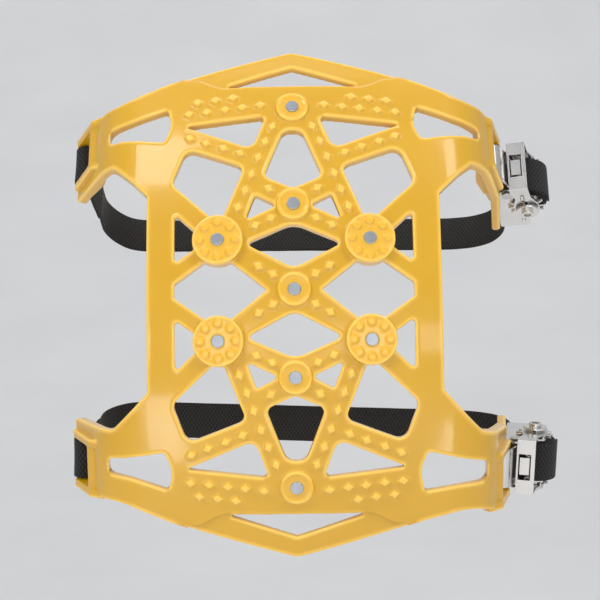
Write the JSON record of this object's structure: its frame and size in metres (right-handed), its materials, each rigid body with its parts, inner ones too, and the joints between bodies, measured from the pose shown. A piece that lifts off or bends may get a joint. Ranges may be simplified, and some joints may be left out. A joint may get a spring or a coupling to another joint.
{
  "type": "tire snow chains",
  "caption": "Moulded anti-skid tread panel with steel studs and diamond grips, held round a tyre by two webbing straps with steel ratchets",
  "frame": {"origin": "centre of the panel inner face, on the tread of the tyre", "axes": "-Y outward from the tyre, +Z along the tread, +X across the tread to the ratchets"},
  "size_m": [0.3068, 0.1684, 0.3125],
  "materials": {
    "tpu": "glossy moulded",
    "stud_steel": "ground",
    "ratchet_steel": "bright zinc plated",
    "spool_steel": "zinc plated",
    "spring_steel": "drawn wire",
    "webbing": "woven",
    "thread": "sewn"
  },
  "bodies": {
    "panel": {"tread_panel": "tpu", "centre_studs": "stud_steel", "hub_studs": "stud_steel", "upper_ratchet_frame": "ratchet_steel", "upper_anchor_link": "ratchet_steel", "upper_anchor_bolt": "spool_steel", "upper_anchor_nut": "spool_steel", "upper_strap_run": "webbing", "upper_strap_stitching": "thread", "upper_lock_pawl_springs": "spring_steel", "lower_ratchet_frame": "ratchet_steel", "lower_anchor_link": "ratchet_steel", "lower_anchor_bolt": "spool_steel", "lower_anchor_nut": "spool_steel", "lower_strap_run": "webbing", "lower_strap_stitching": "thread", "lower_lock_pawl_springs": "spring_steel"},
    "upper_spool_set": {"upper_spool": "spool_steel", "upper_ratchet_wheels": "ratchet_steel", "upper_spool_caps": "ratchet_steel", "upper_strap_roll": "webbing"},
    "upper_handle_set": {"upper_handle": "ratchet_steel", "upper_drive_pawl_springs": "spring_steel"},
    "upper_drive_pawl_set": {"upper_drive_pawl": "ratchet_steel"},
    "upper_lock_pawl_set": {"upper_lock_pawl": "ratchet_steel"},
    "lower_spool_set": {"lower_spool": "spool_steel", "lower_ratchet_wheels": "ratchet_steel", "lower_spool_caps": "ratchet_steel", "lower_strap_roll": "webbing"},
    "lower_handle_set": {"lower_handle": "ratchet_steel", "lower_drive_pawl_springs": "spring_steel"},
    "lower_drive_pawl_set": {"lower_drive_pawl": "ratchet_steel"},
    "lower_lock_pawl_set": {"lower_lock_pawl": "ratchet_steel"}
  },
  "joints": [
    {"name": "upper_handle_hinge", "type": "hinge", "parent": "panel", "child": "upper_handle_set", "pos_m": [0.152, 0.09152, 0.08194], "axis": [0.0075, 0.3256, 0.9455], "range_deg": [0, 150]},
    {"name": "upper_spool_spin", "type": "hinge", "parent": "panel", "child": "upper_spool_set", "pos_m": [0.152, 0.09152, 0.08194], "axis": [0.0075, 0.3256, 0.9455], "continuous": true},
    {"name": "upper_drive_pawl_slide", "type": "slide", "parent": "upper_handle_set", "child": "upper_drive_pawl_set", "axis": [0.1908, 0.9277, -0.3209], "range_m": [0, 0.0028], "stiffness_N_per_m": 120, "springref_m": 0.005},
    {"name": "upper_lock_pawl_slide", "type": "slide", "parent": "panel", "child": "upper_lock_pawl_set", "axis": [-0.1908, -0.9277, 0.3209], "range_m": [0, 0.0028], "stiffness_N_per_m": 120, "springref_m": 0.005},
    {"name": "lower_handle_hinge", "type": "hinge", "parent": "panel", "child": "lower_handle_set", "pos_m": [0.15187, 0.09602, -0.09437], "axis": [0.0414, -0.3466, 0.9371], "range_deg": [0, 150]},
    {"name": "lower_spool_spin", "type": "hinge", "parent": "panel", "child": "lower_spool_set", "pos_m": [0.15187, 0.09602, -0.09437], "axis": [0.0414, -0.3466, 0.9371], "continuous": true},
    {"name": "lower_drive_pawl_slide", "type": "slide", "parent": "lower_handle_set", "child": "lower_drive_pawl_set", "axis": [0.1906, 0.9234, 0.3331], "range_m": [0, 0.0028], "stiffness_N_per_m": 120, "springref_m": 0.005},
    {"name": "lower_lock_pawl_slide", "type": "slide", "parent": "panel", "child": "lower_lock_pawl_set", "axis": [-0.1906, -0.9234, -0.3331], "range_m": [0, 0.0028], "stiffness_N_per_m": 120, "springref_m": 0.005}
  ]
}
